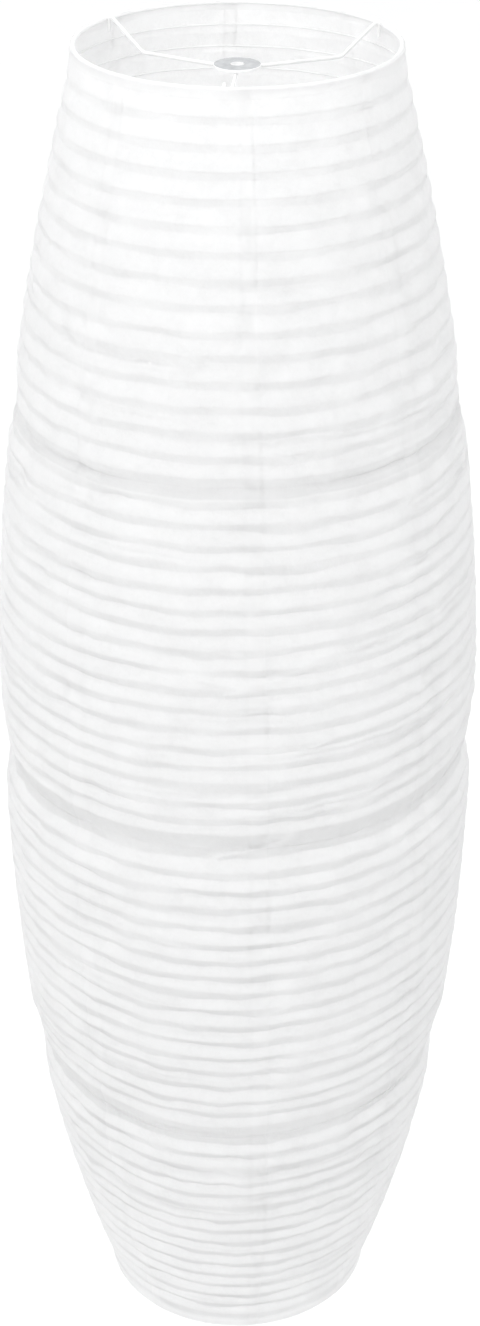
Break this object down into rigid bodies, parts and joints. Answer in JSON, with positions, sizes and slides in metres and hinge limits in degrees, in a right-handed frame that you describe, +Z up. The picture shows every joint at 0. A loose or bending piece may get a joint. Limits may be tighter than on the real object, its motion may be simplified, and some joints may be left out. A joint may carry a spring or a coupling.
{
  "type": "accordion paper lantern lampshade",
  "caption": "Tall barrel-shaped accordion paper lantern shade with hidden wire hoops, open wire end rings and a three-arm fitter for a threaded lamp nipple.",
  "frame": {"origin": "middle of the washer's hole, where the lamp's nipple goes through", "axes": "+Z up along the lantern's axis and the nipple, with the shade hanging below; -Y towards the side the picture shows; +X to its right"},
  "size_m": [0.4006, 0.4006, 1.1649],
  "materials": {
    "paper": "white fibrous rice paper, matt and translucent, creased into horizontal pleats",
    "frame_wire": "white coated steel wire",
    "hoop_wire": "thin white coated steel wire",
    "washer": "white coated sheet steel, greyer on its top"
  },
  "bodies": {
    "top_frame": {"top_ring": "frame_wire", "fitter_hub": "washer", "fitter_arm_1": "frame_wire", "fitter_arm_2": "frame_wire", "fitter_arm_3": "frame_wire", "paper_gore_1": "paper", "paper_gore_2": "paper", "paper_gore_3": "paper", "paper_gore_4": "paper", "paper_gore_5": "paper", "paper_gore_6": "paper", "paper_gore_7": "paper", "paper_gore_8": "paper", "between_hoops_1": "hoop_wire", "between_hoops_2": "hoop_wire", "between_hoops_3": "hoop_wire", "between_hoops_4": "hoop_wire"},
    "bottom_frame": {"bottom_ring": "frame_wire"},
    "hoop_01_body": {"hoop_01": "hoop_wire"},
    "hoop_03_body": {"hoop_03": "hoop_wire"},
    "hoop_05_body": {"hoop_05": "hoop_wire"},
    "hoop_07_body": {"hoop_07": "hoop_wire"},
    "hoop_09_body": {"hoop_09": "hoop_wire"},
    "hoop_11_body": {"hoop_11": "hoop_wire"},
    "hoop_13_body": {"hoop_13": "hoop_wire"},
    "hoop_15_body": {"hoop_15": "hoop_wire"},
    "hoop_17_body": {"hoop_17": "hoop_wire"},
    "hoop_19_body": {"hoop_19": "hoop_wire"},
    "hoop_21_body": {"hoop_21": "hoop_wire"},
    "hoop_23_body": {"hoop_23": "hoop_wire"},
    "hoop_25_body": {"hoop_25": "hoop_wire"},
    "hoop_27_body": {"hoop_27": "hoop_wire"},
    "hoop_29_body": {"hoop_29": "hoop_wire"},
    "hoop_31_body": {"hoop_31": "hoop_wire"},
    "hoop_33_body": {"hoop_33": "hoop_wire"},
    "hoop_35_body": {"hoop_35": "hoop_wire"},
    "hoop_37_body": {"hoop_37": "hoop_wire"},
    "hoop_39_body": {"hoop_39": "hoop_wire"},
    "hoop_41_body": {"hoop_41": "hoop_wire"},
    "hoop_43_body": {"hoop_43": "hoop_wire"},
    "hoop_45_body": {"hoop_45": "hoop_wire"},
    "hoop_47_body": {"hoop_47": "hoop_wire"},
    "hoop_49_body": {"hoop_49": "hoop_wire"},
    "hoop_51_body": {"hoop_51": "hoop_wire"},
    "hoop_53_body": {"hoop_53": "hoop_wire"},
    "hoop_55_body": {"hoop_55": "hoop_wire"},
    "hoop_57_body": {"hoop_57": "hoop_wire"},
    "hoop_59_body": {"hoop_59": "hoop_wire"},
    "hoop_61_body": {"hoop_61": "hoop_wire"},
    "hoop_63_body": {"hoop_63": "hoop_wire"},
    "hoop_65_body": {"hoop_65": "hoop_wire"},
    "hoop_67_body": {"hoop_67": "hoop_wire"}
  },
  "joints": [
    {"name": "collapse", "type": "slide", "parent": "top_frame", "child": "bottom_frame", "axis": [0, 0, 1], "range_m": [0, 1.026], "deforming": ["paper_gore_1", "paper_gore_2", "paper_gore_3", "paper_gore_4", "paper_gore_5", "paper_gore_6", "paper_gore_7", "paper_gore_8", "between_hoops_1", "between_hoops_2", "between_hoops_3", "between_hoops_4"]},
    {"name": "hoop_01_follow", "type": "slide", "parent": "top_frame", "child": "hoop_01_body", "axis": [0, 0, 1], "range_m": [0, 0.0169]},
    {"name": "hoop_03_follow", "type": "slide", "parent": "top_frame", "child": "hoop_03_body", "axis": [0, 0, 1], "range_m": [0, 0.0497]},
    {"name": "hoop_05_follow", "type": "slide", "parent": "top_frame", "child": "hoop_05_body", "axis": [0, 0, 1], "range_m": [0, 0.0826]},
    {"name": "hoop_07_follow", "type": "slide", "parent": "top_frame", "child": "hoop_07_body", "axis": [0, 0, 1], "range_m": [0, 0.1154]},
    {"name": "hoop_09_follow", "type": "slide", "parent": "top_frame", "child": "hoop_09_body", "axis": [0, 0, 1], "range_m": [0, 0.1482]},
    {"name": "hoop_11_follow", "type": "slide", "parent": "top_frame", "child": "hoop_11_body", "axis": [0, 0, 1], "range_m": [0, 0.1811]},
    {"name": "hoop_13_follow", "type": "slide", "parent": "top_frame", "child": "hoop_13_body", "axis": [0, 0, 1], "range_m": [0, 0.2139]},
    {"name": "hoop_15_follow", "type": "slide", "parent": "top_frame", "child": "hoop_15_body", "axis": [0, 0, 1], "range_m": [0, 0.2467]},
    {"name": "hoop_17_follow", "type": "slide", "parent": "top_frame", "child": "hoop_17_body", "axis": [0, 0, 1], "range_m": [0, 0.276]},
    {"name": "hoop_19_follow", "type": "slide", "parent": "top_frame", "child": "hoop_19_body", "axis": [0, 0, 1], "range_m": [0, 0.3053]},
    {"name": "hoop_21_follow", "type": "slide", "parent": "top_frame", "child": "hoop_21_body", "axis": [0, 0, 1], "range_m": [0, 0.3346]},
    {"name": "hoop_23_follow", "type": "slide", "parent": "top_frame", "child": "hoop_23_body", "axis": [0, 0, 1], "range_m": [0, 0.3639]},
    {"name": "hoop_25_follow", "type": "slide", "parent": "top_frame", "child": "hoop_25_body", "axis": [0, 0, 1], "range_m": [0, 0.3932]},
    {"name": "hoop_27_follow", "type": "slide", "parent": "top_frame", "child": "hoop_27_body", "axis": [0, 0, 1], "range_m": [0, 0.4225]},
    {"name": "hoop_29_follow", "type": "slide", "parent": "top_frame", "child": "hoop_29_body", "axis": [0, 0, 1], "range_m": [0, 0.4518]},
    {"name": "hoop_31_follow", "type": "slide", "parent": "top_frame", "child": "hoop_31_body", "axis": [0, 0, 1], "range_m": [0, 0.4811]},
    {"name": "hoop_33_follow", "type": "slide", "parent": "top_frame", "child": "hoop_33_body", "axis": [0, 0, 1], "range_m": [0, 0.5104]},
    {"name": "hoop_35_follow", "type": "slide", "parent": "top_frame", "child": "hoop_35_body", "axis": [0, 0, 1], "range_m": [0, 0.5402]},
    {"name": "hoop_37_follow", "type": "slide", "parent": "top_frame", "child": "hoop_37_body", "axis": [0, 0, 1], "range_m": [0, 0.5699]},
    {"name": "hoop_39_follow", "type": "slide", "parent": "top_frame", "child": "hoop_39_body", "axis": [0, 0, 1], "range_m": [0, 0.5997]},
    {"name": "hoop_41_follow", "type": "slide", "parent": "top_frame", "child": "hoop_41_body", "axis": [0, 0, 1], "range_m": [0, 0.6294]},
    {"name": "hoop_43_follow", "type": "slide", "parent": "top_frame", "child": "hoop_43_body", "axis": [0, 0, 1], "range_m": [0, 0.6592]},
    {"name": "hoop_45_follow", "type": "slide", "parent": "top_frame", "child": "hoop_45_body", "axis": [0, 0, 1], "range_m": [0, 0.6889]},
    {"name": "hoop_47_follow", "type": "slide", "parent": "top_frame", "child": "hoop_47_body", "axis": [0, 0, 1], "range_m": [0, 0.7187]},
    {"name": "hoop_49_follow", "type": "slide", "parent": "top_frame", "child": "hoop_49_body", "axis": [0, 0, 1], "range_m": [0, 0.7485]},
    {"name": "hoop_51_follow", "type": "slide", "parent": "top_frame", "child": "hoop_51_body", "axis": [0, 0, 1], "range_m": [0, 0.7782]},
    {"name": "hoop_53_follow", "type": "slide", "parent": "top_frame", "child": "hoop_53_body", "axis": [0, 0, 1], "range_m": [0, 0.8074]},
    {"name": "hoop_55_follow", "type": "slide", "parent": "top_frame", "child": "hoop_55_body", "axis": [0, 0, 1], "range_m": [0, 0.8366]},
    {"name": "hoop_57_follow", "type": "slide", "parent": "top_frame", "child": "hoop_57_body", "axis": [0, 0, 1], "range_m": [0, 0.8658]},
    {"name": "hoop_59_follow", "type": "slide", "parent": "top_frame", "child": "hoop_59_body", "axis": [0, 0, 1], "range_m": [0, 0.8951]},
    {"name": "hoop_61_follow", "type": "slide", "parent": "top_frame", "child": "hoop_61_body", "axis": [0, 0, 1], "range_m": [0, 0.9243]},
    {"name": "hoop_63_follow", "type": "slide", "parent": "top_frame", "child": "hoop_63_body", "axis": [0, 0, 1], "range_m": [0, 0.9535]},
    {"name": "hoop_65_follow", "type": "slide", "parent": "top_frame", "child": "hoop_65_body", "axis": [0, 0, 1], "range_m": [0, 0.9827]},
    {"name": "hoop_67_follow", "type": "slide", "parent": "top_frame", "child": "hoop_67_body", "axis": [0, 0, 1], "range_m": [0, 1.0119]}
  ],
  "couplings": [
    {"joint": "hoop_01_follow", "follows": "collapse", "ratio": 0.016},
    {"joint": "hoop_03_follow", "follows": "collapse", "ratio": 0.048},
    {"joint": "hoop_05_follow", "follows": "collapse", "ratio": 0.08},
    {"joint": "hoop_07_follow", "follows": "collapse", "ratio": 0.112},
    {"joint": "hoop_09_follow", "follows": "collapse", "ratio": 0.144},
    {"joint": "hoop_11_follow", "follows": "collapse", "ratio": 0.176},
    {"joint": "hoop_13_follow", "follows": "collapse", "ratio": 0.208},
    {"joint": "hoop_15_follow", "follows": "collapse", "ratio": 0.24},
    {"joint": "hoop_17_follow", "follows": "collapse", "ratio": 0.26856},
    {"joint": "hoop_19_follow", "follows": "collapse", "ratio": 0.29711},
    {"joint": "hoop_21_follow", "follows": "collapse", "ratio": 0.32567},
    {"joint": "hoop_23_follow", "follows": "collapse", "ratio": 0.35422},
    {"joint": "hoop_25_follow", "follows": "collapse", "ratio": 0.38278},
    {"joint": "hoop_27_follow", "follows": "collapse", "ratio": 0.41133},
    {"joint": "hoop_29_follow", "follows": "collapse", "ratio": 0.43989},
    {"joint": "hoop_31_follow", "follows": "collapse", "ratio": 0.46844},
    {"joint": "hoop_33_follow", "follows": "collapse", "ratio": 0.497},
    {"joint": "hoop_35_follow", "follows": "collapse", "ratio": 0.526},
    {"joint": "hoop_37_follow", "follows": "collapse", "ratio": 0.555},
    {"joint": "hoop_39_follow", "follows": "collapse", "ratio": 0.584},
    {"joint": "hoop_41_follow", "follows": "collapse", "ratio": 0.613},
    {"joint": "hoop_43_follow", "follows": "collapse", "ratio": 0.642},
    {"joint": "hoop_45_follow", "follows": "collapse", "ratio": 0.671},
    {"joint": "hoop_47_follow", "follows": "collapse", "ratio": 0.7},
    {"joint": "hoop_49_follow", "follows": "collapse", "ratio": 0.729},
    {"joint": "hoop_51_follow", "follows": "collapse", "ratio": 0.758},
    {"joint": "hoop_53_follow", "follows": "collapse", "ratio": 0.78647},
    {"joint": "hoop_55_follow", "follows": "collapse", "ratio": 0.81494},
    {"joint": "hoop_57_follow", "follows": "collapse", "ratio": 0.84341},
    {"joint": "hoop_59_follow", "follows": "collapse", "ratio": 0.87188},
    {"joint": "hoop_61_follow", "follows": "collapse", "ratio": 0.90035},
    {"joint": "hoop_63_follow", "follows": "collapse", "ratio": 0.92882},
    {"joint": "hoop_65_follow", "follows": "collapse", "ratio": 0.95729},
    {"joint": "hoop_67_follow", "follows": "collapse", "ratio": 0.98577}
  ]
}
